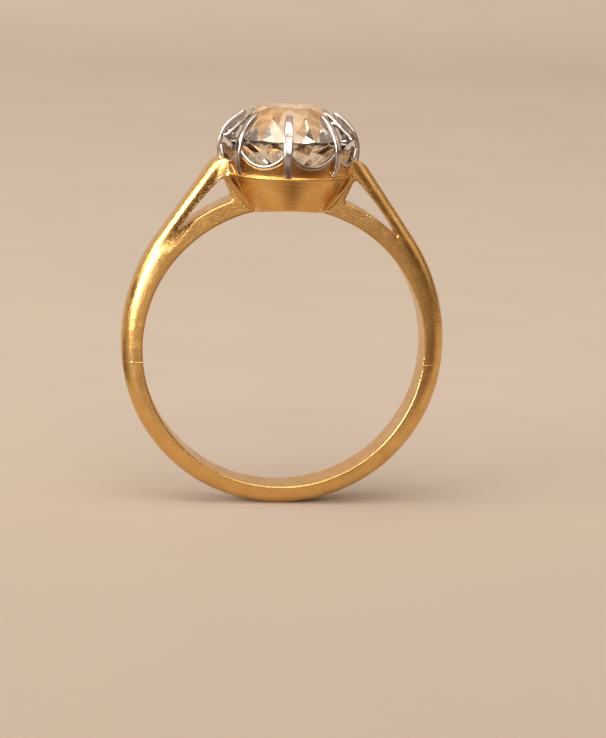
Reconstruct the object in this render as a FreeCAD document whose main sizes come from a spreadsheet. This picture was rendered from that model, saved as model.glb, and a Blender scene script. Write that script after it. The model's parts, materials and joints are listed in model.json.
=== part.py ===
import FreeCAD, Part
import math
import os
import Sketcher

# Engagement ring: a gold shank in three soldered pieces, a gold cup, a platinum
# scalloped coronet, eight platinum claws and one round brilliant stone.
# Millimetres. Origin at the centre of the finger hole, Y along the finger,
# Z up through the stone.

SIZES = {
    # finger hole and band
    "finger_r": 8.5,
    "band_outer_r": 9.73,
    "band_rise": 0.1,
    "band_width": 2.5,
    "band_round": 0.72,
    "joint_z": -0.92,
    # forked shoulder, drawn on the +X side
    "arm_arc_r": 11.2,
    "arm_bend_x": 7.73,
    "arm_bend_z": 6.66,
    "arm_tip_x": 4.65,
    "arm_tip_z": 11.10,
    "arm_cap_x": 4.0,
    "arm_cap_z": 11.42,
    "branch_r": 9.53,
    "crotch_x": 6.78,
    "slot_top_x": 3.93,
    "slot_top_z": 10.34,
    "slot_low_x": 3.32,
    "slot_bow_r": 19.6,
    "slot_round": 0.18,
    # the whole head stands slightly turned on the band
    "head_turn": -6.5,
    # gold cup under the stone
    "cup_foot_r": 1.97,
    "cup_foot_z": 7.8,
    "cup_arc_r": 12.0,
    "cup_top_r": 3.82,
    "rim_z": 10.48,
    "rim_r": 3.89,
    "rim_height": 0.12,
    "wall_foot_r": 3.74,
    "wall_top_r": 4.08,
    "wall_top_z": 12.15,
    "wall_thick": 0.28,
    "cup_hole_r": 1.6,
    "cup_well_z": 8.6,
    # scallops between the claws
    "scallop_z": 12.84,
    "scallop_r": 1.54,
    "scallop_band": 0.26,
    # claws
    "claw_count": 8,
    "claw_width": 0.48,
    "claw_round": 0.12,
    "claw_foot_r": 3.92,
    "claw_girth_r": 4.28,
    "claw_girth_z": 12.05,
    "claw_bend_r": 3.53,
    "claw_bend_z": 13.68,
    "claw_tip_r": 2.55,
    "claw_tip_z": 14.28,
    "claw_lower_arc": 2.6,
    "claw_tip_arc": 2.4,
    "claw_seat": 0.22,
    # stone
    "stone_r": 3.95,
    "girdle_top_z": 12.78,
    "girdle_height": 0.20,
    "table_r": 1.75,
    "table_z": 14.48,
    "star_tip_r": 2.60,
    "pavilion_deg": 41.0,
    "lower_half_tip_r": 1.80,
    "culet_z": 9.32,
}

doc = FreeCAD.newDocument("ring")
sheet = doc.addObject("Spreadsheet::Sheet", "Sizes")
for row, (alias, value) in enumerate(SIZES.items(), start=1):
    sheet.set(f"A{row}", alias)
    sheet.set(f"B{row}", str(value))
    sheet.setAlias(f"B{row}", alias)
doc.recompute()


def size(alias):
    return float(getattr(sheet, alias))


def bound(text):
    """Turn aliases in an expression into references to the sheet."""
    for alias in sorted(SIZES, key=len, reverse=True):
        text = text.replace(f"<{alias}>", f"Sizes.{alias}")
    return text


def new_body(label):
    body = doc.addObject("PartDesign::Body", label)
    body.Label = label
    return body


def new_sketch(body, name, role, turn_text="0"):
    """A sketch on one of the body's origin planes, turned about its own upright."""
    sketch = body.newObject("Sketcher::SketchObject", name)
    plane = next(f for f in body.Origin.OriginFeatures if f.Role == role)
    sketch.AttachmentSupport = (plane, "")
    sketch.MapMode = "FlatFace"
    sketch.AttachmentOffset.Rotation.Axis = FreeCAD.Vector(0, 1, 0)
    sketch.setExpression("AttachmentOffset.Rotation.Angle", bound(turn_text))
    return sketch


def arc_between(start, end, radius):
    """The short arc between two points; a positive radius bulges to the right of start-end."""
    chord = end - start
    half = chord.Length / 2
    sag = abs(radius) - math.sqrt(radius**2 - half**2)
    side = FreeCAD.Vector(chord.y, -chord.x, 0).normalize()
    middle = start + chord * 0.5 + side * math.copysign(sag, radius)
    return Part.Arc(start, middle, end)


def draw_outline(sketch, corners):
    """A closed outline of (x, y) expressions; a third entry bends the side that follows."""
    places = []
    for corner in corners:
        x, y = (float(sheet.evalExpression(bound(text))) for text in corner[:2])
        places.append(FreeCAD.Vector(x, y, 0))
    starts = []
    for index, corner in enumerate(corners):
        here = places[index]
        there = places[(index + 1) % len(corners)]
        if len(corner) == 2:
            side = sketch.addGeometry(Part.LineSegment(here, there), False)
            starts.append((side, 1, 2))
            continue
        radius = float(sheet.evalExpression(bound(corner[2])))
        side = sketch.addGeometry(arc_between(here, there, radius), False)
        begins = sketch.getPoint(side, 1).distanceToPoint(here) < 1e-6
        starts.append((side, 1, 2) if begins else (side, 2, 1))
    for index, (side, begin, end) in enumerate(starts):
        after = starts[(index + 1) % len(starts)]
        sketch.addConstraint(Sketcher.Constraint("Coincident", side, end, after[0], after[1]))
    for index, (side, begin, end) in enumerate(starts):
        for kind, text, value in (
            ("DistanceX", corners[index][0], places[index].x),
            ("DistanceY", corners[index][1], places[index].y),
        ):
            number = sketch.addConstraint(Sketcher.Constraint(kind, -1, 1, side, begin, value))
            sketch.setExpression(f"Constraints[{number}]", bound(text))
        if len(corners[index]) == 3:
            text = corners[index][2]
            radius = abs(float(sheet.evalExpression(bound(text))))
            number = sketch.addConstraint(Sketcher.Constraint("Radius", side, radius))
            sketch.setExpression(f"Constraints[{number}]", bound(f"abs({text})"))


def add_disc(sketch, x_text, y_text, radius_text):
    x, y, radius = (
        float(sheet.evalExpression(bound(text))) for text in (x_text, y_text, radius_text)
    )
    centre = FreeCAD.Vector(x, y, 0)
    disc = sketch.addGeometry(Part.Circle(centre, FreeCAD.Vector(0, 0, 1), radius), False)
    for kind, text, value in (("DistanceX", x_text, x), ("DistanceY", y_text, y)):
        number = sketch.addConstraint(Sketcher.Constraint(kind, -1, 1, disc, 3, value))
        sketch.setExpression(f"Constraints[{number}]", bound(text))
    number = sketch.addConstraint(Sketcher.Constraint("Radius", disc, radius))
    sketch.setExpression(f"Constraints[{number}]", bound(radius_text))


def pad_both_ways(body, sketch, name, length_text):
    pad = body.newObject("PartDesign::Pad", name)
    pad.Profile = sketch
    pad.SideType = "Symmetric"
    pad.setExpression("Length", bound(length_text))
    return pad


def cut_both_ways(body, sketch, name, length_text):
    pocket = body.newObject("PartDesign::Pocket", name)
    pocket.Profile = sketch
    pocket.SideType = "Symmetric"
    pocket.setExpression("Length", bound(length_text))
    return pocket


def turn_about(body, sketch, kind, name, axis):
    turned = body.newObject(kind, name)
    turned.Profile = sketch
    turned.ReferenceAxis = (sketch, [axis])
    turned.Angle = 360.0
    return turned


def round_edges(body, before, name, radius_alias, wanted):
    """Fillet the edges of the feature before whose middle point passes the test."""
    doc.recompute()
    names = []
    for number, edge in enumerate(before.Shape.Edges, start=1):
        if wanted(edge.valueAt((edge.FirstParameter + edge.LastParameter) / 2)):
            names.append(f"Edge{number}")
    fillet = body.newObject("PartDesign::Fillet", name)
    fillet.Base = (before, names)
    fillet.setExpression("Radius", bound(f"<{radius_alias}>"))
    return fillet


# Scallops are centred halfway between two claws.
SWAG_TURN = "<head_turn> + 180 / <claw_count>"
# The wall of the head, from its foot up: used for the cup and for what fits on it.
HEAD_WALL = [
    ("<cup_foot_r>", "<cup_foot_z>", "<cup_arc_r>"),
    ("<cup_top_r>", "<rim_z>"),
    ("<rim_r>", "<rim_z>"),
    ("<rim_r>", "<rim_z> + <rim_height>"),
    ("<wall_foot_r>", "<rim_z> + <rim_height>"),
    ("<wall_top_r>", "<wall_top_z>"),
]
CROWN_SLOPE = "(<table_z> - <girdle_top_z>) / (<stone_r> - <table_r>)"
PAVILION_SLOPE = "tan(<pavilion_deg> * 1deg)"
# The lower stretch of a claw, run inward into the head to open a slit for it.
CLAW_SLIT = [
    ("<wall_foot_r> - <wall_thick>", "<rim_z> + <rim_height>"),
    ("<claw_foot_r>", "<rim_z> + <rim_height>", "<claw_lower_arc>"),
    ("<claw_girth_r>", "<claw_girth_z>"),
    ("<wall_foot_r> - <wall_thick>", "<claw_girth_z>"),
]
CLAW = [
    ("<wall_foot_r>", "<rim_z> + <rim_height>"),
    ("<claw_foot_r>", "<rim_z> + <rim_height>", "<claw_lower_arc>"),
    ("<claw_girth_r>", "<claw_girth_z>", "<claw_lower_arc>"),
    ("<claw_bend_r>", "<claw_bend_z>", "<claw_tip_arc>"),
    ("<claw_tip_r>", "<claw_tip_z>"),
    ("<claw_tip_r>", f"<table_z> - (<claw_tip_r> - <table_r>) * {CROWN_SLOPE}"),
    ("<stone_r>", "<girdle_top_z>"),
    ("<stone_r>", "<girdle_top_z> - <girdle_height>"),
    (
        "<stone_r> - <claw_seat>",
        f"<girdle_top_z> - <girdle_height> - <claw_seat> * {PAVILION_SLOPE}",
    ),
    ("<stone_r> - <claw_seat>", "<wall_top_z>"),
    ("<wall_top_r>", "<wall_top_z>"),
]


def make_shank_back():
    """The lower half of the band, cut level just below the middle of the finger hole."""
    body = new_body("shank_back")
    section = new_sketch(body, "shank_section", "XY_Plane")
    hidden = "<finger_r> - 2 * <band_rise>"
    side = "<band_width> / 2"
    shoulder = "<band_outer_r> - <band_round>"
    flat = "<band_width> / 2 - <band_round>"
    draw_outline(
        section,
        [
            (hidden, f"-({side})"),
            (shoulder, f"-({side})", "<band_round>"),
            ("<band_outer_r>", f"-({flat})"),
            ("<band_outer_r>", flat, "<band_round>"),
            (shoulder, side),
            (hidden, side),
        ],
    )
    section.setExpression("AttachmentOffset.Base.z", bound("<band_rise>"))
    turn_about(body, section, "PartDesign::Revolution", "shank_hoop", "V_Axis")
    trim = new_sketch(body, "shank_trim", "XZ_Plane")
    reach = "2 * <band_outer_r>"
    draw_outline(
        trim,
        [
            (f"-({reach})", "<joint_z>"),
            (reach, "<joint_z>"),
            (reach, reach),
            (f"-({reach})", reach),
        ],
    )
    cut_both_ways(body, trim, "shank_top_cut", "2 * <band_width>")
    bore = new_sketch(body, "shank_bore", "XZ_Plane")
    add_disc(bore, "0", "0", "<finger_r>")
    body.Tip = cut_both_ways(body, bore, "shank_bore_cut", "2 * <band_width>")
    return body


def make_shoulder(label, turn_deg):
    """One forked arm: a strut up to the coronet and a branch that follows the finger."""
    body = new_body(label)
    fork = new_sketch(body, f"{label}_fork", "XZ_Plane")
    inside = "<cup_hole_r>"
    level = "<joint_z>"
    draw_outline(
        fork,
        [
            (f"sqrt(<finger_r> ^ 2 - {level} ^ 2)", level),
            (
                f"sqrt(<band_outer_r> ^ 2 - ({level} - <band_rise>) ^ 2)",
                level,
                "<arm_arc_r>",
            ),
            ("<arm_bend_x>", "<arm_bend_z>"),
            ("<arm_tip_x>", "<arm_tip_z>"),
            ("<arm_cap_x>", "<arm_cap_z>"),
            (inside, "<arm_cap_z>"),
            (inside, f"sqrt(<finger_r> ^ 2 - {inside} ^ 2)", "-<finger_r>"),
        ],
    )
    draw_outline(
        fork,
        [
            ("<slot_top_x>", "<slot_top_z>", "-<slot_bow_r>"),
            ("<crotch_x>", "sqrt(<branch_r> ^ 2 - <crotch_x> ^ 2)", "<branch_r>"),
            ("<slot_low_x>", "sqrt(<branch_r> ^ 2 - <slot_low_x> ^ 2)"),
        ],
    )
    pad = pad_both_ways(body, fork, f"{label}_arm", "<band_width>")
    half = size("band_width") / 2

    run = FreeCAD.Vector(
        size("arm_tip_x") - size("arm_bend_x"), 0, size("arm_tip_z") - size("arm_bend_z")
    )
    outward = FreeCAD.Vector(run.z, 0, -run.x).normalize()
    bend = FreeCAD.Vector(size("arm_bend_x"), 0, size("arm_bend_z"))

    def on_back(point):
        depth = (bend - point).dot(outward)
        outside = depth < size("band_round") and point.z < size("arm_tip_z")
        return outside and abs(abs(point.y) - half) < 0.01

    rounded = round_edges(body, pad, f"{label}_round", "band_round", on_back)

    def in_window(point):
        inner = size("slot_low_x") - 0.01 < point.x < size("slot_top_x") + 0.01
        return inner and abs(point.y) < 0.01 and point.z < size("slot_top_z") + 0.01

    round_edges(body, rounded, f"{label}_corners", "slot_round", in_window)
    socket = new_sketch(body, f"{label}_socket", "XZ_Plane")
    axis_up = ("0", "<wall_top_z>")
    draw_outline(socket, [("0", "<cup_foot_z>")] + HEAD_WALL + [axis_up])
    turn_about(body, socket, "PartDesign::Groove", f"{label}_head_cut", "V_Axis")
    slit = new_sketch(body, f"{label}_slit", "XZ_Plane", "<head_turn>")
    draw_outline(slit, CLAW_SLIT)
    body.Tip = cut_both_ways(body, slit, f"{label}_claw_cut", "<claw_width>")
    body.Placement = FreeCAD.Placement(
        FreeCAD.Vector(), FreeCAD.Rotation(FreeCAD.Vector(0, 0, 1), turn_deg)
    )
    return body


def pattern_round(body, feature, sketch, name):
    pattern = body.newObject("PartDesign::PolarPattern", name)
    pattern.Originals = [feature]
    pattern.Axis = (sketch, ["V_Axis"])
    pattern.Angle = 360.0
    pattern.setExpression("Occurrences", bound("<claw_count>"))
    return pattern


def make_base_collet():
    """The gold cup: its foot filed to the finger, its top edge cut in scallops."""
    body = new_body("base_collet")
    profile = new_sketch(body, "cup_profile", "XZ_Plane")
    thick = "<wall_thick>"
    draw_outline(
        profile,
        HEAD_WALL
        + [
            (f"<wall_top_r> - {thick}", "<wall_top_z>"),
            (f"<wall_foot_r> - {thick}", "<rim_z>"),
            ("<cup_hole_r>", "<cup_well_z>"),
            ("<cup_hole_r>", "<cup_foot_z>"),
        ],
    )
    turn_about(body, profile, "PartDesign::Revolution", "cup_turned", "V_Axis")
    finger = new_sketch(body, "cup_finger", "XZ_Plane")
    add_disc(finger, "0", "0", "<finger_r>")
    cut_both_ways(body, finger, "cup_finger_cut", "4 * <rim_r>")
    swag = new_sketch(body, "cup_swag", "XZ_Plane", SWAG_TURN)
    add_disc(swag, "0", "<scallop_z>", "<scallop_r> + <scallop_band>")
    cut = cut_both_ways(body, swag, "cup_swag_cut", "4 * <rim_r>")
    body.Tip = pattern_round(body, cut, swag, "cup_swags")
    return body


def make_coronet(collet):
    """The platinum edge that runs in scallops from claw to claw on top of the cup."""
    blank = new_body("coronet_blank")
    profile = new_sketch(blank, "coronet_profile", "XZ_Plane")
    draw_outline(
        profile,
        [
            ("<wall_foot_r>", "<rim_z> + <rim_height>"),
            ("<wall_top_r>", "<wall_top_z>"),
            ("<wall_top_r> - <wall_thick>", "<wall_top_z>"),
            ("<wall_foot_r> - <wall_thick>", "<rim_z>"),
        ],
    )
    turn_about(blank, profile, "PartDesign::Revolution", "coronet_turned", "V_Axis")
    swag = new_sketch(blank, "coronet_swag", "XZ_Plane", SWAG_TURN)
    add_disc(swag, "0", "<scallop_z>", "<scallop_r>")
    cut = cut_both_ways(blank, swag, "coronet_swag_cut", "4 * <rim_r>")
    blank.Tip = pattern_round(blank, cut, swag, "coronet_swags")
    coronet = doc.addObject("Part::Cut", "coronet")
    coronet.Label = "coronet"
    coronet.Base = blank
    coronet.Tool = collet
    return coronet


def make_claw(number):
    """A claw that stands on the cup's rim, holds the girdle and bends over the crown."""
    label = f"claw_{number + 1}"
    body = new_body(label)
    profile = new_sketch(body, f"{label}_profile", "XZ_Plane")
    draw_outline(profile, CLAW)
    pad = pad_both_ways(body, profile, f"{label}_strip", "<claw_width>")
    half = size("claw_width") / 2

    def on_front(point):
        lean = size("wall_top_r") - size("wall_foot_r")
        above = (point.z - size("rim_z")) / (size("wall_top_z") - size("rim_z"))
        return abs(abs(point.y) - half) < 0.01 and (
            point.x > size("wall_foot_r") + lean * above + 0.1
            or point.z > size("claw_bend_z") + 0.2
        )

    body.Tip = round_edges(body, pad, f"{label}_round", "claw_round", on_front)
    turn = 360.0 * number / size("claw_count") - 90.0 + size("head_turn")
    body.Placement = FreeCAD.Placement(
        FreeCAD.Vector(), FreeCAD.Rotation(FreeCAD.Vector(0, 0, 1), turn)
    )
    return body


def facets(first_deg, count, reach, level, rise, run):
    """Cutting blocks for a ring of facets through reach at level that climb rise over run."""
    tilt = math.atan2(abs(rise), run)
    up = math.copysign(math.cos(tilt), rise)
    blocks = []
    for index in range(count):
        turn = math.radians(first_deg) + 2 * math.pi * index / count
        outward = FreeCAD.Vector(math.cos(turn), math.sin(turn), 0)
        normal = outward * math.sin(tilt) + FreeCAD.Vector(0, 0, up)
        big = 4 * size("stone_r")
        block = Part.makeBox(big, big, big, FreeCAD.Vector(-big / 2, -big / 2, 0))
        block.Placement = FreeCAD.Placement(
            outward * reach + FreeCAD.Vector(0, 0, level),
            FreeCAD.Rotation(FreeCAD.Vector(0, 0, 1), normal),
        )
        blocks.append(block)
    return blocks


def make_diamond():
    """An old round brilliant: kites under the claws, stars round the table, halves at the girdle."""
    stone_r = size("stone_r")
    count = int(size("claw_count"))
    pitch = 360.0 / count
    half_cos = math.cos(math.radians(pitch / 2))
    quarter_cos = math.cos(math.radians(pitch / 4))
    top = size("girdle_top_z")
    bottom = top - size("girdle_height")
    crown = size("table_z") - top
    crown_slope = crown / (stone_r - size("table_r"))
    star_r = size("star_tip_r")
    star_rise = (stone_r - star_r * half_cos) * crown_slope
    table_reach = size("table_r") * half_cos
    lower_r = size("lower_half_tip_r")
    pavilion_slope = math.tan(math.radians(size("pavilion_deg")))
    lower_drop = (stone_r - lower_r * half_cos) * pavilion_slope
    chord = stone_r * quarter_cos
    stone = Part.makeCylinder(
        stone_r, size("table_z") - size("culet_z"), FreeCAD.Vector(0, 0, size("culet_z"))
    )
    cuts = facets(0, count, stone_r, top, crown_slope, 1)
    cuts += facets(
        pitch / 2, count, table_reach, size("table_z"), crown - star_rise, star_r - table_reach
    )
    cuts += facets(
        pitch / 4, 2 * count, chord, top, star_rise, (stone_r - star_r) * quarter_cos
    )
    cuts += facets(0, count, stone_r, bottom, -pavilion_slope, 1)
    cuts += facets(
        pitch / 4, 2 * count, chord, bottom, -lower_drop, (stone_r - lower_r) * quarter_cos
    )
    for block in cuts:
        stone = stone.cut(block)
    diamond = doc.addObject("Part::Feature", "diamond")
    diamond.Label = "diamond"
    diamond.Shape = stone.Solids[0]
    diamond.Placement = FreeCAD.Placement(
        FreeCAD.Vector(), FreeCAD.Rotation(FreeCAD.Vector(0, 0, 1), size("head_turn"))
    )
    return diamond


collet = make_base_collet()
pieces = [
    make_shank_back(),
    make_shoulder("shoulder_right", 0.0),
    make_shoulder("shoulder_left", 180.0),
    collet,
    make_coronet(collet),
    make_diamond(),
]
pieces += [make_claw(number) for number in range(int(size("claw_count")))]
doc.recompute()

for item in doc.Objects:
    if "Invalid" in item.State or "Error" in item.State:
        raise RuntimeError(f"{item.Label} is {item.State}")
os.makedirs("parts", exist_ok=True)
for piece in pieces:
    if piece.Shape.isNull() or not piece.Shape.isValid():
        raise RuntimeError(f"{piece.Label} has no valid shape")
    piece.Shape.exportStep(f"parts/{piece.Label}.step")
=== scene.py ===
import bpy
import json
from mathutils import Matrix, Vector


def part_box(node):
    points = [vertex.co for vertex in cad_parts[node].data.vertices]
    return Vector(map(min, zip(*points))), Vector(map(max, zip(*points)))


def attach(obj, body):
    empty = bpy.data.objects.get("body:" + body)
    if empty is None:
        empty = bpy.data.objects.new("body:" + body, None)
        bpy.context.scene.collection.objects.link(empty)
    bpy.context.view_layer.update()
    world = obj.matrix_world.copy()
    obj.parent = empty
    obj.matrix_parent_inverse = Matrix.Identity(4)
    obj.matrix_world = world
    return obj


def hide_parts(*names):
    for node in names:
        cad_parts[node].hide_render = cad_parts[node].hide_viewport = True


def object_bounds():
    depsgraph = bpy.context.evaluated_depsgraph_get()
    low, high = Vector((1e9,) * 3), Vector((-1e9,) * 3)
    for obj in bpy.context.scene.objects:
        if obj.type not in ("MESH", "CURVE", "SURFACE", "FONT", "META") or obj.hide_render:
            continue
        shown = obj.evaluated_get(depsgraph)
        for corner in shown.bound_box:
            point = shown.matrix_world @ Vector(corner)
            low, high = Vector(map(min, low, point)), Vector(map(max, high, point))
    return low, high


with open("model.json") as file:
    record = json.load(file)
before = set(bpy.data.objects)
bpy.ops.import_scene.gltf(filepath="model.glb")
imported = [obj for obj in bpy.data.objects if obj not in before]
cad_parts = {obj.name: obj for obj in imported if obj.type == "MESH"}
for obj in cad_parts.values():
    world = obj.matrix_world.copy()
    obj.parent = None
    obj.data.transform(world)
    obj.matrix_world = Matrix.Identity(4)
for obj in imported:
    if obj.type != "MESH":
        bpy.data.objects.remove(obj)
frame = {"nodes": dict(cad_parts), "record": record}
cad_box = [list(map(float, corner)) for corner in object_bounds()]

import json
import math

import bpy
import numpy as np
from mathutils import Matrix, Vector, noise

# An engagement ring: gold band with forked shoulders, gold cup, scalloped
# platinum coronet, eight platinum claws and a round old-cut diamond.
# Millimetres in the numbers below, metres in Blender. Z runs up through the
# stone, Y along the finger, and the origin is the centre of the finger hole.
MM = 0.001

BODY = "root"
CLAWS = [f"claw_{number}" for number in range(1, 9)]


def node_box(name):
    """Lowest and highest corner of a CAD node, in millimetres."""
    low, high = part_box(name)
    return low / MM, high / MM


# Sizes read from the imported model.
FINGER_R = frame["record"]["mounts"][0]["dims"]["r_mm"]
BAND_OUTER_R = node_box("shank_back")[1].x

# Sizes of the band and of the head, as in the CAD model. The outer circle of
# the band is centred a little above the finger hole.
BAND_RISE = 0.1
BAND_MIDDLE_R = 9.0
BAND_HALF = 1.25
JOINT_Z = -0.92
HEAD_TURN = math.radians(-6.5)
CUP_FOOT = (1.97, 7.8)
CUP_ARC_R = 12.0
CUP_TOP_R = 3.82
RIM_Z = 10.48
RIM_R = 3.89
RIM_HEIGHT = 0.12
WALL_FOOT_R = 3.74
WALL_TOP = (4.08, 12.15)
WALL_THICK = 0.28
HEAD_MIDDLE_R = 4.0
CUP_HOLE_R = 1.6
CUP_WELL_Z = 8.6
SCALLOP_Z = 12.84
SCALLOP_R = 1.54
SCALLOP_BAND = 0.23
# The scallops just behind the side claws are cut less deep.
SHALLOW_LIFT = 0.45
CLAW_PITCH = math.radians(45)

# Outer line of a shoulder: an arc from the joint up to the bend, then straight to the coronet.
ARM_START = (9.6629, JOINT_Z)
ARM_BEND = (7.73, 6.66)
ARM_TIP = (4.65, 11.10)
ARM_ARC_R = 11.2


# ---------------------------------------------------------------- materials


class Nodes:
    """Short calls for building a node material."""

    def __init__(self, name):
        self.material = bpy.data.materials.new(name)
        self.material.use_nodes = True
        self.tree = self.material.node_tree
        self.tree.nodes.clear()
        self.output = self.tree.nodes.new("ShaderNodeOutputMaterial")
        self.shader = self.tree.nodes.new("ShaderNodeBsdfPrincipled")
        self.link(self.shader.outputs["BSDF"], self.output.inputs["Surface"])

    def link(self, source, target):
        self.tree.links.new(source, target)

    def add(self, kind, **settings):
        node = self.tree.nodes.new(kind)
        for key, value in settings.items():
            setattr(node, key, value)
        return node

    def math(self, operation, first, second=None):
        node = self.add("ShaderNodeMath", operation=operation)
        for socket, value in zip(node.inputs, (first, second)):
            if isinstance(value, (int, float)):
                socket.default_value = value
            elif value is not None:
                self.link(value, socket)
        return node.outputs[0]

    def ramp(self, source, low, high, result_low=0.0, result_high=1.0):
        node = self.add("ShaderNodeMapRange", clamp=True)
        self.link(source, node.inputs["Value"])
        for index, value in enumerate((low, high, result_low, result_high), start=1):
            node.inputs[index].default_value = value
        return node.outputs[0]

    def mix(self, factor, first, second):
        node = self.add("ShaderNodeMix", data_type="RGBA")
        if isinstance(factor, (int, float)):
            node.inputs["Factor"].default_value = factor
        else:
            self.link(factor, node.inputs["Factor"])
        for socket, colour in ((node.inputs[6], first), (node.inputs[7], second)):
            if isinstance(colour, tuple):
                socket.default_value = (*colour, 1.0)
            else:
                self.link(colour, socket)
        return node.outputs[2]

    def noise(self, vector, scale, detail=2.0, roughness=0.5):
        node = self.add("ShaderNodeTexNoise")
        self.link(vector, node.inputs["Vector"])
        node.inputs["Scale"].default_value = scale
        node.inputs["Detail"].default_value = detail
        node.inputs["Roughness"].default_value = roughness
        return node.outputs["Fac"]

    def combine(self, x, y, z):
        node = self.add("ShaderNodeCombineXYZ")
        for socket, value in zip(node.inputs, (x, y, z)):
            if isinstance(value, (int, float)):
                socket.default_value = value
            else:
                self.link(value, socket)
        return node.outputs[0]

    def place(self):
        """The x, y and z of the shaded point in metres."""
        where = self.add("ShaderNodeTexCoord").outputs["Object"]
        split = self.add("ShaderNodeSeparateXYZ")
        self.link(where, split.inputs[0])
        return split.outputs

    def bump(self, height, strength, distance, normal=None):
        """A bumped normal; the strength is a number or a socket."""
        node = self.add("ShaderNodeBump")
        if isinstance(strength, (int, float)):
            node.inputs["Strength"].default_value = strength
        else:
            self.link(strength, node.inputs["Strength"])
        node.inputs["Distance"].default_value = distance
        self.link(height, node.inputs["Height"])
        if normal is not None:
            self.link(normal, node.inputs["Normal"])
        return node.outputs[0]


def round_places(nodes, axis):
    """Place on the surface in mm as run round the axis, radius and place along the axis."""
    x, y, z = nodes.place()
    first, second, along = (x, z, y) if axis == "Y" else (x, y, z)
    angle = nodes.math("ARCTAN2", second, first)
    first_square = nodes.math("MULTIPLY", first, first)
    second_square = nodes.math("MULTIPLY", second, second)
    reach = nodes.math("SQRT", nodes.math("ADD", first_square, second_square))
    radius = nodes.math("MULTIPLY", reach, 1 / MM)
    run = nodes.math("MULTIPLY", angle, BAND_MIDDLE_R if axis == "Y" else HEAD_MIDDLE_R)
    return run, radius, nodes.math("MULTIPLY", along, 1 / MM)


def height_above(nodes, level):
    """Zero below a level in mm, one from just above it."""
    z = nodes.place()[2]
    return nodes.ramp(z, (level - 0.1) * MM, (level + 0.1) * MM)


def strut_inside(nodes):
    """One on the front of the left strut, away from its outer edge, else zero.

    The depth is the distance under the strut's straight outer line.
    """
    x, y, z = nodes.place()
    slope_x, slope_z = np.array(ARM_TIP) - np.array(ARM_BEND)
    reach = math.hypot(slope_x, slope_z)
    from_x = nodes.math("MULTIPLY", nodes.math("ADD", x, ARM_BEND[0] * MM), slope_z / reach)
    from_z = nodes.math("MULTIPLY", nodes.math("SUBTRACT", z, ARM_BEND[1] * MM), slope_x / reach)
    depth = nodes.math("ADD", from_x, from_z)
    under_edge = nodes.ramp(depth, 0.30 * MM, 0.46 * MM)
    above_branch = nodes.ramp(depth, 1.10 * MM, 1.30 * MM, 1.0, 0.0)
    above_crotch = nodes.ramp(z, 5.6 * MM, 7.2 * MM)
    in_front = nodes.ramp(y, -0.8 * MM, -0.5 * MM, 1.0, 0.0)
    clear_of_cup = nodes.ramp(x, -4.6 * MM, -4.0 * MM, 1.0, 0.0)
    inside = under_edge
    for limit in (above_branch, above_crotch, in_front, clear_of_cup):
        inside = nodes.math("MULTIPLY", inside, limit)
    return inside


# Streaks are drawn out round the axis and fine across it.
STREAK_ALONG = 0.22
STREAK_ACROSS = 4.0
# Full depth of the marks in the metal, in millimetres.
STREAK_DEPTH = 0.04
SPECK_DEPTH = 0.03
PIT_DEPTH = 0.8
# How strongly each kind of mark tints the metal at most.
SPECK_TINT = 0.55
CLOUD_TINT = 0.45
# Painted shade: how strongly the wall above the shade level is darkened at most.
WALL_SHADE_TINT = 0.75
PIT_TINT = 0.95
SMOOTHEST = 0.04


def worn_metal(name, colour, tarnish, axis, grain, satin, polish, pitted=False, shade_level=None):
    """Metal with streaks that run round the axis, cloudy wear and fine specks.

    The grain is the strength of the streaks and specks. Roughness runs from
    polish to satin. A pitted metal has small dark pits on the left strut,
    and above the shade level it is painted brown as shade under the coronet.
    """
    nodes = Nodes(name)
    run, radius, along = round_places(nodes, axis)
    place = nodes.combine(run, radius, along)
    streaked = nodes.combine(
        nodes.math("MULTIPLY", run, STREAK_ALONG),
        nodes.math("MULTIPLY", radius, STREAK_ACROSS),
        nodes.math("MULTIPLY", along, STREAK_ACROSS),
    )
    cloud = nodes.noise(place, scale=0.9, detail=4.0, roughness=0.6)
    speck = nodes.noise(place, scale=9.0, detail=3.0, roughness=0.6)
    streak = nodes.noise(streaked, scale=3.0, detail=5.0, roughness=0.65)
    worn = nodes.ramp(cloud, 0.42, 0.66)
    cloudy_rough = nodes.ramp(worn, 0.0, 1.0, polish, satin)
    streaky_rough = nodes.ramp(streak, 0.3, 0.75, -0.04, 0.07)
    rough = nodes.math("ADD", cloudy_rough, streaky_rough)
    nodes.link(nodes.math("MAXIMUM", rough, SMOOTHEST), nodes.shader.inputs["Roughness"])
    tone = nodes.mix(nodes.ramp(speck, 0.45, 0.75, 0.0, SPECK_TINT), colour, tarnish)
    tone = nodes.mix(nodes.ramp(cloud, 0.35, 0.75, 0.0, CLOUD_TINT), tone, tarnish)
    # Painted shade: above the shade level the metal is mixed towards dark brown, as shade under the
    # coronet.
    if shade_level is not None:
        painted_wall_shade = nodes.math("MULTIPLY", height_above(nodes, shade_level), WALL_SHADE_TINT)
        tone = nodes.mix(painted_wall_shade, tone, WALL_PAINTED_SHADE)
    if pitted:
        pits = nodes.noise(place, scale=8.0, detail=3.0, roughness=0.6)
        inside = strut_inside(nodes)
        stain = nodes.math("MULTIPLY", nodes.ramp(pits, 0.45, 0.53), inside)
        tone = nodes.mix(nodes.math("MULTIPLY", stain, PIT_TINT), tone, PIT)
    nodes.link(tone, nodes.shader.inputs["Base Color"])
    nodes.shader.inputs["Metallic"].default_value = 1.0
    normal = nodes.bump(streak, grain, STREAK_DEPTH * MM)
    normal = nodes.bump(speck, grain * 1.2, SPECK_DEPTH * MM, normal)
    if pitted:
        normal = nodes.bump(nodes.math("SUBTRACT", 1.0, pits), inside, PIT_DEPTH * MM, normal)
    nodes.link(normal, nodes.shader.inputs["Normal"])
    return nodes.material


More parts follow.
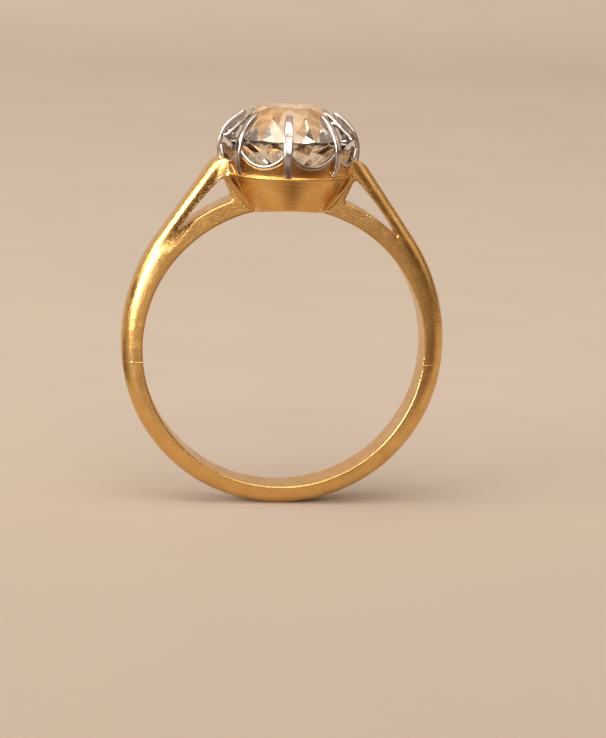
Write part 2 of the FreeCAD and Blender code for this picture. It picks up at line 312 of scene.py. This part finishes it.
def clear_stone(name):
    """Near colourless stone, a little warm, with faint clouding."""
    nodes = Nodes(name)
    where = nodes.add("ShaderNodeTexCoord").outputs["Object"]
    cloud = nodes.noise(where, scale=700.0, detail=3.0, roughness=0.6)
    tone = nodes.mix(nodes.ramp(cloud, 0.4, 0.7), STONE_PALE, STONE_WARM)
    nodes.link(tone, nodes.shader.inputs["Base Color"])
    nodes.link(nodes.ramp(cloud, 0.4, 0.8, 0.0, 0.012), nodes.shader.inputs["Roughness"])
    nodes.shader.inputs["IOR"].default_value = STONE_INDEX
    nodes.shader.inputs["Transmission Weight"].default_value = 1.0
    return nodes.material


# The band's gold is darker and browner than the cup's: painted shade on the band.
# The cup's inside is a paler gold: painted light inside the cup.
SHADED_BAND_GOLD = (0.87, 0.575, 0.215)
SHADED_BAND_GOLD_DULL = (0.62, 0.29, 0.06)
CUP_GOLD = (0.93, 0.61, 0.22)
CUP_GOLD_DULL = (0.76, 0.36, 0.07)
PAINTED_LIGHT_GOLD = (1.0, 0.80, 0.52)
PAINTED_LIGHT_GOLD_DULL = (0.88, 0.56, 0.27)
# Painted shade colour for the gold wall under the coronet.
WALL_PAINTED_SHADE = (0.42, 0.18, 0.05)
PIT = (0.24, 0.12, 0.045)
PLATINUM = (0.64, 0.58, 0.55)
PLATINUM_DULL = (0.36, 0.28, 0.25)
STONE_PALE = (1.0, 0.93, 0.82)
STONE_WARM = (0.99, 0.88, 0.73)
STONE_INDEX = 2.0

# Painted shade on the gold wall, above the rim and under the coronet.
WALL_SHADE_Z = 10.75

# Painted shade: the band's gold is darker than the cup's.
gold_band = worn_metal(
    "gold_band", SHADED_BAND_GOLD, SHADED_BAND_GOLD_DULL, "Y", grain=0.32, satin=0.29, polish=0.12, pitted=True
)
# Painted light: the cup's lining is a paler gold so that it looks lit.
pale_painted_light_inside = worn_metal(
    "cup_inside_painted_light", PAINTED_LIGHT_GOLD, PAINTED_LIGHT_GOLD_DULL, "Z", grain=0.9, satin=0.45, polish=0.30
)
gold_cup = worn_metal(
    "gold_cup", CUP_GOLD, CUP_GOLD_DULL, "Z", grain=0.4, satin=0.30, polish=0.20, shade_level=WALL_SHADE_Z
)
platinum = worn_metal(
    "platinum", PLATINUM, PLATINUM_DULL, "Z", grain=0.15, satin=0.18, polish=0.07
)
diamond = clear_stone("diamond_clear")


# ------------------------------------------------------------------- pieces


def finish_piece(piece, material, slot, *nodes):
    """Gives the piece its material, hangs it under the body and hides the CAD nodes it stands for."""
    piece.data.materials.clear()
    piece.data.materials.append(material)
    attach(piece, BODY)
    if nodes:
        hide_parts(*nodes)


def new_piece(name, points, faces):
    """A smooth shaded mesh from points in millimetres."""
    mesh = bpy.data.meshes.new(name)
    mesh.from_pydata([tuple(point) for point in np.asarray(points) * MM], [], faces)
    mesh.validate()
    mesh.shade_smooth()
    piece = bpy.data.objects.new(name, mesh)
    bpy.context.scene.collection.objects.link(piece)
    return piece


def tube_faces(rows, columns, closed_rows):
    """Quads of a grid whose columns close on themselves; open rows get end caps."""
    faces = []
    for row in range(rows if closed_rows else rows - 1):
        after = (row + 1) % rows
        for column in range(columns):
            beside = (column + 1) % columns
            faces.append(
                (
                    row * columns + column,
                    row * columns + beside,
                    after * columns + beside,
                    after * columns + column,
                )
            )
    if not closed_rows:
        faces.append(tuple(range(columns - 1, -1, -1)))
        faces.append(tuple((rows - 1) * columns + column for column in range(columns)))
    return faces


def arc_centre(start, end, radius):
    """Centre of the arc from start to end that bulges to the right of that run."""
    start, end = np.array(start), np.array(end)
    chord = end - start
    length = np.hypot(*chord)
    side = np.array([chord[1], -chord[0]]) / length
    return (start + end) / 2 - side * math.sqrt(radius**2 - length**2 / 4)


def arc_points(start, end, radius, count):
    """Points of the arc from start to end that bulges to the right of that run."""
    start, end = np.array(start), np.array(end)
    centre = arc_centre(start, end, radius)
    first = math.atan2(*(start - centre)[::-1])
    last = math.atan2(*(end - centre)[::-1])
    turns = np.linspace(first, last, count)
    return centre + radius * np.stack([np.cos(turns), np.sin(turns)], axis=1)


def along(line, count):
    """Evenly spaced points on a polyline."""
    line = np.asarray(line, float)
    steps = np.hypot(*np.diff(line, axis=0).T)
    reach = np.concatenate([[0], np.cumsum(steps)])
    wanted = np.linspace(0, reach[-1], count)
    return np.stack([np.interp(wanted, reach, line[:, axis]) for axis in (0, 1)], axis=1)


def wear(points, scale, depth):
    """Moves points by a slow noise, as metal worn by years on a finger.

    The noise has no fixed seed, so it differs a little from run to run.
    """
    moved = np.array(points, float)
    for index, point in enumerate(moved):
        moved[index] += depth * np.array(noise.noise_vector(Vector(point) * scale))
    return moved


# The band is a fifth narrower at its outer line than it is deeper down.
DOME = 0.20
DOME_DEPTH = 1.3
# Next to a joint the metal is left as it is, and its end runs a hair past the joint.
JOINT_LAP = 0.035
JOINT_KEEP = 0.03
JOINT_BLEND = 0.12


def outer_depth(points):
    """How deep points lie under the outer line of the band and the shoulders."""
    x, z = np.abs(points[:, 0]), points[:, 2]
    hoop = BAND_OUTER_R - np.hypot(x, z - BAND_RISE)
    centre = arc_centre(ARM_START, ARM_BEND, ARM_ARC_R)
    side = ARM_ARC_R - np.hypot(x - centre[0], z - centre[1])
    slope = np.array(ARM_TIP) - np.array(ARM_BEND)
    slope /= np.hypot(*slope)
    strut = (x - ARM_BEND[0]) * slope[1] - (z - ARM_BEND[1]) * slope[0]
    depth = np.where(z < JOINT_Z, hoop, np.where(z < ARM_BEND[1], side, -strut))
    return np.maximum(depth, 0.0)


def dome(points):
    """Rounds the flat sides of the band off towards its outer line."""
    thin = DOME * np.clip(1 - outer_depth(points) / DOME_DEPTH, 0, 1) ** 2
    points[:, 1] *= 1 - thin
    return points


def polish(mesh, rounds, joint_z):
    """Smooths a fine mesh but leaves the soldered end faces flat and just run together."""
    points = np.zeros(len(mesh.vertices) * 3)
    mesh.vertices.foreach_get("co", points)
    points = points.reshape(-1, 3)
    edges = np.zeros(len(mesh.edges) * 2, int)
    mesh.edges.foreach_get("vertices", edges)
    first, second = edges.reshape(-1, 2).T
    count = np.bincount(first, minlength=len(points)) + np.bincount(second, minlength=len(points))
    from_joint = np.abs(points[:, 2] - joint_z)
    free = np.clip((from_joint - JOINT_KEEP) / JOINT_BLEND, 0.0, 1.0)[:, None]
    for _ in range(rounds):
        total = np.zeros_like(points)
        for axis in range(3):
            total[:, axis] = np.bincount(first, points[second, axis], len(points))
            total[:, axis] += np.bincount(second, points[first, axis], len(points))
        points += 0.5 * free * (total / count[:, None] - points)
    toward_joint = math.copysign(JOINT_LAP, joint_z - points[:, 2].mean())
    points[:, 2] += toward_joint * (1 - free[:, 0])
    return points


def smooth_copy(node, name, voxel, rounds):
    """A finely meshed copy of a CAD node with its edges slightly polished away."""
    mesh = frame["nodes"][node].data.copy()
    mesh.transform(Matrix.Scale(1 / MM, 4))
    piece = bpy.data.objects.new(name, mesh)
    bpy.context.scene.collection.objects.link(piece)
    remesh = piece.modifiers.new("fine", "REMESH")
    remesh.mode = "VOXEL"
    remesh.voxel_size = voxel
    bpy.context.view_layer.update()
    seen = piece.evaluated_get(bpy.context.evaluated_depsgraph_get())
    fine = bpy.data.meshes.new_from_object(seen)
    piece.modifiers.clear()
    piece.data = fine
    points = wear(dome(polish(fine, rounds, JOINT_Z)), scale=0.8, depth=0.012)
    points = np.clip(points, *(np.array(cad_box) / MM))
    fine.vertices.foreach_set("co", (points * MM).ravel())
    fine.update()
    fine.shade_smooth()
    return piece


CUP_LINE = arc_points(CUP_FOOT, (CUP_TOP_R, RIM_Z), CUP_ARC_R, count=60)
# The thin raised line between the cup and the wall.
CUP_RIM = (
    (CUP_TOP_R + 0.045, RIM_Z),
    (RIM_R, RIM_Z + 0.03),
    (RIM_R + 0.01, RIM_Z + 0.06),
    (RIM_R, RIM_Z + 0.09),
    (CUP_TOP_R + 0.02, RIM_Z + 0.12),
    (WALL_FOOT_R + 0.005, RIM_Z + 0.13),
)
# How many points each stretch of the cup's section has.
OUTER_POINTS = 26
WALL_POINTS = 12
WELL_POINTS = 10
HOLE_POINTS = 4
SOLE_POINTS = 5


def wall_radius(z):
    """Outer radius of the gold wall above the rim."""
    rise = z - RIM_Z - RIM_HEIGHT
    full_rise = WALL_TOP[1] - RIM_Z - RIM_HEIGHT
    return WALL_FOOT_R + (WALL_TOP[0] - WALL_FOOT_R) * rise / full_rise


def scallop_height(turn, radius):
    """Height of a scalloped edge at an angle round the head."""
    offset = (turn - HEAD_TURN) % CLAW_PITCH - CLAW_PITCH / 2
    across = HEAD_MIDDLE_R * math.sin(offset)
    if abs(across) >= radius:
        return WALL_TOP[1]
    from_back = abs(turn - HEAD_TURN - math.pi / 2)
    just_behind_side = abs(from_back - 1.5 * CLAW_PITCH) < CLAW_PITCH / 2
    lift = SHALLOW_LIFT if just_behind_side else 0.0
    return min(WALL_TOP[1], SCALLOP_Z + lift - math.sqrt(radius**2 - across**2))


def filed_start(turn):
    """Place on the cup's line where the finger hole cuts it off."""
    r, z = CUP_LINE.T
    from_finger = np.hypot(r * math.cos(turn), z)
    return np.interp(FINGER_R, from_finger, np.arange(len(CUP_LINE)))


def filed_height(radius, turn):
    """Height of the finger hole's surface at a place on the cup's sole."""
    return math.sqrt(FINGER_R**2 - (radius * math.cos(turn)) ** 2)


def cup_column(turn):
    """The cup's section at one angle, as (radius, height) once round the metal."""
    places = np.linspace(filed_start(turn), len(CUP_LINE) - 1, OUTER_POINTS)
    index = np.arange(len(CUP_LINE))
    outer = np.stack([np.interp(places, index, CUP_LINE[:, axis]) for axis in (0, 1)], axis=1)
    edge = scallop_height(turn, SCALLOP_R + SCALLOP_BAND)
    heights = np.linspace(RIM_Z + 0.16, edge, WALL_POINTS)
    wall = [(wall_radius(z), z) for z in heights]
    lining = [(wall_radius(z) - WALL_THICK, z) for z in heights[::-1]]
    well = along([(WALL_FOOT_R - WALL_THICK, RIM_Z), (CUP_HOLE_R, CUP_WELL_Z)], WELL_POINTS)
    hole_foot = (CUP_HOLE_R, filed_height(CUP_HOLE_R, turn))
    hole = along([(CUP_HOLE_R, CUP_WELL_Z - 0.03), hole_foot], HOLE_POINTS)
    across_sole = np.linspace(CUP_HOLE_R, outer[0][0], SOLE_POINTS)[1:-1]
    sole = [(r, filed_height(r, turn)) for r in across_sole]
    return [*outer, *CUP_RIM, *wall, *lining, *well, *hole, *sole]


def turned(column_of, count):
    """Points and faces of a section carried round the head's axis."""
    turns = [2 * math.pi * index / count for index in range(count)]
    columns = [column_of(turn) for turn in turns]
    points = [
        (r * math.cos(turn), r * math.sin(turn), z)
        for turn, column in zip(turns, columns)
        for r, z in column
    ]
    return points, tube_faces(count, len(columns[0]), True)


# How far the coronet's bead stands out, how low it is at least, and its steps.
BEAD_OUT = 0.06
BEAD_LEAST = 0.02
BEAD_STEPS = 8


def coronet_column(turn):
    """A half round bead of metal between two scalloped edges, on the wall's top."""
    top = scallop_height(turn, SCALLOP_R)
    low = min(scallop_height(turn, SCALLOP_R + SCALLOP_BAND), top - BEAD_LEAST)
    bead = []
    for step in range(BEAD_STEPS + 1):
        swing = math.pi * step / BEAD_STEPS - math.pi / 2
        z = (top + low) / 2 + (top - low) / 2 * math.sin(swing)
        bead.append((wall_radius(z) + BEAD_OUT * math.cos(swing), z))
    lining = [(wall_radius(z) - WALL_THICK, z) for z in (top, (top + low) / 2, low)]
    return bead + lining


# Outer line of a claw, as radius and height: foot, widest place, crown and tip.
CLAW_FOOT = (3.92, 10.60)
CLAW_GIRTH = (4.27, 12.05)
CLAW_CROWN = (3.53, 13.68)
CLAW_TIP = (2.55, 14.28)
CLAW_OUTER = np.concatenate(
    [
        arc_points(CLAW_FOOT, CLAW_GIRTH, radius=2.6, count=14),
        arc_points(CLAW_GIRTH, CLAW_CROWN, radius=2.6, count=18)[1:],
        arc_points(CLAW_CROWN, CLAW_TIP, radius=2.4, count=12)[1:],
    ]
)
# The inner line follows the wall, the girdle of the stone and its crown.
CLAW_INNER = [(3.72, 10.60), (4.02, 12.1), (3.92, 12.45), (3.95, 12.72), (2.62, 13.80)]
CLAW_STATIONS = 56
CLAW_SIDES = 20
# Widths along a claw: a bead at the foot, a neck, a broad body and a narrow end.
CLAW_WIDTH_AT = (0, 0.04, 0.1, 0.3, 0.6, 0.85, 1)
CLAW_WIDTHS = (0.34, 0.46, 0.34, 0.44, 0.50, 0.40, 0.3)
# The last and the first stretch of a claw are rounded off.
TIP_FROM = 0.93
TIP_PART = 0.07
TOE_PART = 0.02
# The lower the power, the squarer the section.
SIDE_POWER = 0.42
FACE_POWER = 0.5
# Hand-made claws differ a little; the one in front is the broadest.
CLAW_BREADTHS = (1.22, 0.92, 1.0, 0.86, 0.95, 0.86, 1.0, 0.90)


def claw_points(turn, breadth):
    """Rounded oblong sections of a claw, from its foot bead to its tip."""
    outer = along(CLAW_OUTER, CLAW_STATIONS)
    inner = along(CLAW_INNER, CLAW_STATIONS)
    points = []
    across = np.array([-math.sin(turn), math.cos(turn), 0.0])
    for index in range(CLAW_STATIONS):
        part = index / (CLAW_STATIONS - 1)
        tip = math.sqrt(max(0.0, 1 - max(0.0, (part - TIP_FROM) / TIP_PART) ** 2))
        toe = math.sqrt(max(0.0, 1 - max(0.0, (TOE_PART - part) / TOE_PART) ** 2))
        width = np.interp(part, CLAW_WIDTH_AT, CLAW_WIDTHS) * (breadth * max(0.25, tip * toe))
        middle = (outer[index] + inner[index]) / 2
        half = (outer[index] - inner[index]) / 2 * max(0.3, tip)
        for side in range(CLAW_SIDES):
            swing = 2 * math.pi * side / CLAW_SIDES
            level, upright = math.cos(swing), math.sin(swing)
            sideways = width / 2 * math.copysign(abs(level) ** SIDE_POWER, level)
            r, z = middle + half * math.copysign(abs(upright) ** FACE_POWER, upright)
            place = np.array([r * math.cos(turn), r * math.sin(turn), z]) + across * sideways
            points.append(place)
    return points


# The solder's height, and how far it spreads on the cup and along the shoulder.
SOLDER_FOOT_Z = 8.36
SOLDER_TOP_Z = 11.35
SOLDER_ROWS = 34
SOLDER_AT = (0, 0.2, 0.68, 1)
SOLDER_ON_CUP = (0.12, 0.30, 0.75, 0.1)
SOLDER_ON_ARM = (0.25, 0.34, 0.30, 0.1)
SOLDER_CURVE_POINTS = 8


def fillet_points(flip_x, flip_y):
    """Solder run into the corner between the cup and the side of a shoulder."""
    heights = np.linspace(SOLDER_FOOT_Z, SOLDER_TOP_Z, SOLDER_ROWS)
    points = []
    for z in heights:
        if z < RIM_Z:
            radius = np.interp(z, CUP_LINE[:, 1], CUP_LINE[:, 0])
        else:
            radius = wall_radius(max(z, RIM_Z + RIM_HEIGHT))
        rise = (z - heights[0]) / (heights[-1] - heights[0])
        along_cup = np.interp(rise, SOLDER_AT, SOLDER_ON_CUP)
        along_arm = np.interp(rise, SOLDER_AT, SOLDER_ON_ARM)
        start = math.asin(BAND_HALF / radius)
        corner = np.array([radius * math.cos(start), BAND_HALF])
        stop = start + along_cup / radius
        on_cup = np.array([math.cos(stop), math.sin(stop)]) * radius
        on_arm = corner + np.array([along_arm, 0.0])
        pull = corner + 0.12 * (on_cup + on_arm - 2 * corner)
        curve = [
            (1 - t) ** 2 * on_cup + 2 * t * (1 - t) * pull + t * t * on_arm
            for t in np.linspace(0, 1, SOLDER_CURVE_POINTS)
        ]
        buried = [on_arm - (0, 0.05), corner - (0.05, 0.12), on_cup * 0.985]
        points += [(x * flip_x, y * flip_y, z) for x, y in [*curve, *buried]]
    return points, tube_faces(SOLDER_ROWS, len(points) // SOLDER_ROWS, False)


def build_band():
    """The lower band and the two forked shoulders."""
    for node, voxel, rounds in (
        ("shank_back", 0.05, 10),
        ("shoulder_left", 0.04, 9),
        ("shoulder_right", 0.04, 9),
    ):
        piece = smooth_copy(node, f"{node}_polished", voxel, rounds)
        finish_piece(piece, gold_band, "gold", node)


def build_cup():
    """The cup with its wall, and a lining painted paler, as painted light, down to the hole in its foot.
    """
    cup = new_piece("base_collet_turned", *turned(cup_column, 360))
    finish_piece(cup, gold_cup, "gold", "base_collet")
    cup.data.materials.append(pale_painted_light_inside)
    lining_from = OUTER_POINTS + len(CUP_RIM) + WALL_POINTS
    lined = range(lining_from, lining_from + WALL_POINTS + WELL_POINTS)
    column_size = len(cup_column(0.0))
    for face in cup.data.polygons:
        places = [vertex % column_size for vertex in face.vertices]
        if min(places) in lined and max(places) in lined:
            face.material_index = 1


def build_coronet():
    """The scalloped platinum edge that runs from claw to claw."""
    coronet = new_piece("coronet_bead", *turned(coronet_column, 480))
    finish_piece(coronet, platinum, "platinum", "coronet")


def build_claws():
    """Eight claws, counted from the one in front."""
    for number, node in enumerate(CLAWS):
        turn = HEAD_TURN - math.pi / 2 + CLAW_PITCH * number
        claw = new_piece(
            f"{node}_shaped",
            claw_points(turn, CLAW_BREADTHS[number]),
            tube_faces(CLAW_STATIONS, CLAW_SIDES, False),
        )
        finish_piece(claw, platinum, "platinum", node)


def build_solder():
    """A fillet at the front and at the back of each shoulder."""
    for side, flip_x, flip_y in (
        ("right_front", 1, -1),
        ("right_back", 1, 1),
        ("left_front", -1, -1),
        ("left_back", -1, 1),
    ):
        fillet = new_piece(f"solder_{side}", *fillet_points(flip_x, flip_y))
        finish_piece(fillet, gold_band, "gold")


def clear_diamond():
    """The stone keeps its own shape and gets the clear material."""
    stone = frame["nodes"]["diamond"].data
    stone.materials.clear()
    stone.materials.append(diamond)


build_band()
build_cup()
build_coronet()
build_claws()
build_solder()
clear_diamond()


# -------------------------------------------------- floor, light and camera


WORLD_DIM = 0.12
DIM_TINT = (1.0, 0.60, 0.36, 1.0)
BRIGHT_TINT = (1.0, 0.88, 0.75, 1.0)
WORLD_BRIGHT = 0.80
# Axis, low and high: the room brightens as the direction of view rises from low to high.
BRIGHT_RANGES = (("Z", 0.22, 0.70), ("Y", 0.25, 0.8))

WHITE_LIGHT = (1.0, 0.98, 0.95)
FLOOR_TONES = ((0.432, 0.369, 0.311), (0.448, 0.383, 0.323))
# Painted shade: the floor's darker tone in front of the ring.
FLOOR_FRONT_SHADE = (0.345, 0.286, 0.235)
FLOOR_HALF_WIDTH = 900.0
FLOOR_NEAR = 500.0
FLOOR_FAR = 300.0
BACKDROP_BEND_R = 180.0
BACKDROP_HEIGHT = 700.0
BACKDROP_STEPS = 24
FLAG_BROWN = (0.075, 0.032, 0.014, 1.0)
FLAG_LIFT = 0.02


def make_floor():
    """A pale floor that bends up into a pale backdrop far behind the ring."""
    low = min(node_box(node)[0].z for node in frame["nodes"])
    line = [(-FLOOR_NEAR, low)]
    for step in range(BACKDROP_STEPS + 1):
        swing = math.pi / 2 * step / BACKDROP_STEPS
        y = FLOOR_FAR + BACKDROP_BEND_R * math.sin(swing)
        line.append((y, low + BACKDROP_BEND_R * (1 - math.cos(swing))))
    line.append((FLOOR_FAR + BACKDROP_BEND_R, low + BACKDROP_HEIGHT))
    verts = [(side * FLOOR_HALF_WIDTH, y, z) for y, z in line for side in (-1, 1)]
    faces = [(2 * row, 2 * row + 1, 2 * row + 3, 2 * row + 2) for row in range(len(line) - 1)]
    mesh = bpy.data.meshes.new("floor")
    mesh.from_pydata([tuple(v * MM for v in vert) for vert in verts], [], faces)
    mesh.shade_smooth()
    floor = bpy.data.objects.new("floor", mesh)
    bpy.context.scene.collection.objects.link(floor)
    nodes = Nodes("floor_paper")
    where = nodes.add("ShaderNodeTexCoord").outputs["Object"]
    grain = nodes.noise(where, scale=60.0, detail=3.0)
    tone = nodes.mix(nodes.ramp(grain, 0.3, 0.7), *FLOOR_TONES)
    # Painted shade: the floor darkens towards the front of the ring.
    y = nodes.place()[1]
    front = nodes.ramp(y, -90 * MM, 30 * MM, 1.0, 0.0)
    tone = nodes.mix(front, tone, FLOOR_FRONT_SHADE)
    nodes.link(tone, nodes.shader.inputs["Base Color"])
    nodes.shader.inputs["Roughness"].default_value = 0.9
    nodes.shader.inputs["Specular IOR Level"].default_value = 0.0
    mesh.materials.append(nodes.material)


def add_light(name, place, size, power, colour):
    """A soft rectangular light aimed at the ring; place and size in millimetres."""
    light = bpy.data.lights.new(name, "AREA")
    light.shape = "RECTANGLE"
    light.size, light.size_y = size[0] * MM, size[1] * MM
    light.energy = power
    light.color = colour
    holder = bpy.data.objects.new(name, light)
    holder.location = Vector(place) * MM
    holder.rotation_euler = (-holder.location).to_track_quat("-Z", "Y").to_euler()
    bpy.context.scene.collection.objects.link(holder)


def add_flag(name, low, high):
    """A dark card lying on the floor that only shows as a reflection."""
    level = -BAND_OUTER_R + BAND_RISE + FLAG_LIFT
    corners = [(low[0], low[1]), (high[0], low[1]), (high[0], high[1]), (low[0], high[1])]
    mesh = bpy.data.meshes.new(name)
    mesh.from_pydata([(x * MM, y * MM, level * MM) for x, y in corners], [], [(0, 1, 2, 3)])
    card = bpy.data.objects.new(name, mesh)
    bpy.context.scene.collection.objects.link(card)
    card.visible_camera = False
    card.visible_diffuse = False
    card.visible_shadow = False
    card.visible_transmission = False
    nodes = Nodes(name)
    nodes.shader.inputs["Base Color"].default_value = FLAG_BROWN
    mesh.materials.append(nodes.material)


def make_world():
    """A pale room, bright above and behind the ring and dim in front of it."""
    world = bpy.data.worlds.new("studio")
    world.use_nodes = True
    tree = world.node_tree
    background = tree.nodes["Background"]
    where = tree.nodes.new("ShaderNodeTexCoord")
    split = tree.nodes.new("ShaderNodeSeparateXYZ")
    tree.links.new(where.outputs["Generated"], split.inputs[0])
    both = tree.nodes.new("ShaderNodeMath")
    both.operation = "MAXIMUM"
    for socket, (axis, low, high) in zip(both.inputs, BRIGHT_RANGES):
        rise = tree.nodes.new("ShaderNodeMapRange")
        rise.interpolation_type = "SMOOTHSTEP"
        rise.inputs["From Min"].default_value = low
        rise.inputs["From Max"].default_value = high
        tree.links.new(split.outputs[axis], rise.inputs["Value"])
        tree.links.new(rise.outputs[0], socket)
    power = tree.nodes.new("ShaderNodeMapRange")
    power.inputs["To Min"].default_value = WORLD_DIM
    power.inputs["To Max"].default_value = WORLD_BRIGHT
    tree.links.new(both.outputs[0], power.inputs["Value"])
    tint = tree.nodes.new("ShaderNodeMix")
    tint.data_type = "RGBA"
    tint.inputs[6].default_value = DIM_TINT
    tint.inputs[7].default_value = BRIGHT_TINT
    tree.links.new(both.outputs[0], tint.inputs["Factor"])
    tree.links.new(tint.outputs[2], background.inputs["Color"])
    tree.links.new(power.outputs[0], background.inputs["Strength"])
    bpy.context.scene.world = world


# Height of the view at the ring. Its middle lies right of and below the finger hole's centre.
VIEW_HEIGHT = 44.592145
VIEW_RIGHT = 1.2688822
VIEW_DOWN = 1.450151


def make_camera():
    """A camera in front of the ring, a little above it and tilted sideways."""
    azimuth, elevation = math.radians(-6.5), math.radians(10.4)
    roll = math.radians(1.85)
    distance = 180.0
    camera = bpy.data.cameras.new("camera")
    camera.sensor_fit = "VERTICAL"
    camera.sensor_height = 36.0
    camera.lens = camera.sensor_height * distance / VIEW_HEIGHT
    camera.shift_x = VIEW_RIGHT / VIEW_HEIGHT
    camera.shift_y = -VIEW_DOWN / VIEW_HEIGHT
    camera.clip_start, camera.clip_end = 0.01, 10.0
    holder = bpy.data.objects.new("camera", camera)
    back = Vector(
        (
            math.sin(azimuth) * math.cos(elevation),
            -math.cos(azimuth) * math.cos(elevation),
            math.sin(elevation),
        )
    )
    aim = (-back).to_track_quat("-Z", "Y").to_matrix().to_4x4()
    place = Matrix.Translation(back * distance * MM)
    holder.matrix_world = place @ aim @ Matrix.Rotation(roll, 4, "Z")
    bpy.context.scene.collection.objects.link(holder)
    bpy.context.scene.camera = holder


make_floor()
make_world()
add_light("overhead", (-80, -200, 960), (1040, 600), 4.9, (1.0, 0.94, 0.86))
add_light("left_high", (-890, -150, 500), (560, 280), 3.6, WHITE_LIGHT)
add_light("front_left", (-520, -900, 240), (420, 440), 3.2, WHITE_LIGHT)
add_light("front", (30, -900, 440), (520, 720), 3.2, (1.0, 0.95, 0.88))
add_light("left", (-850, -640, 260), (460, 500), 9.0, WHITE_LIGHT)
add_light("right", (1040, -80, 400), (360, 560), 0.5, (1.0, 0.88, 0.74))
add_flag("flag_front", (-50, -42), (50, -17))
add_flag("flag_under", (-2.8, -17), (6.5, -5.5))
add_flag("flag_right", (10, -190), (95, -40))
add_flag("flag_left", (-120, -14), (-25, 22))
bpy.context.scene.view_settings.view_transform = "Standard"
make_camera()
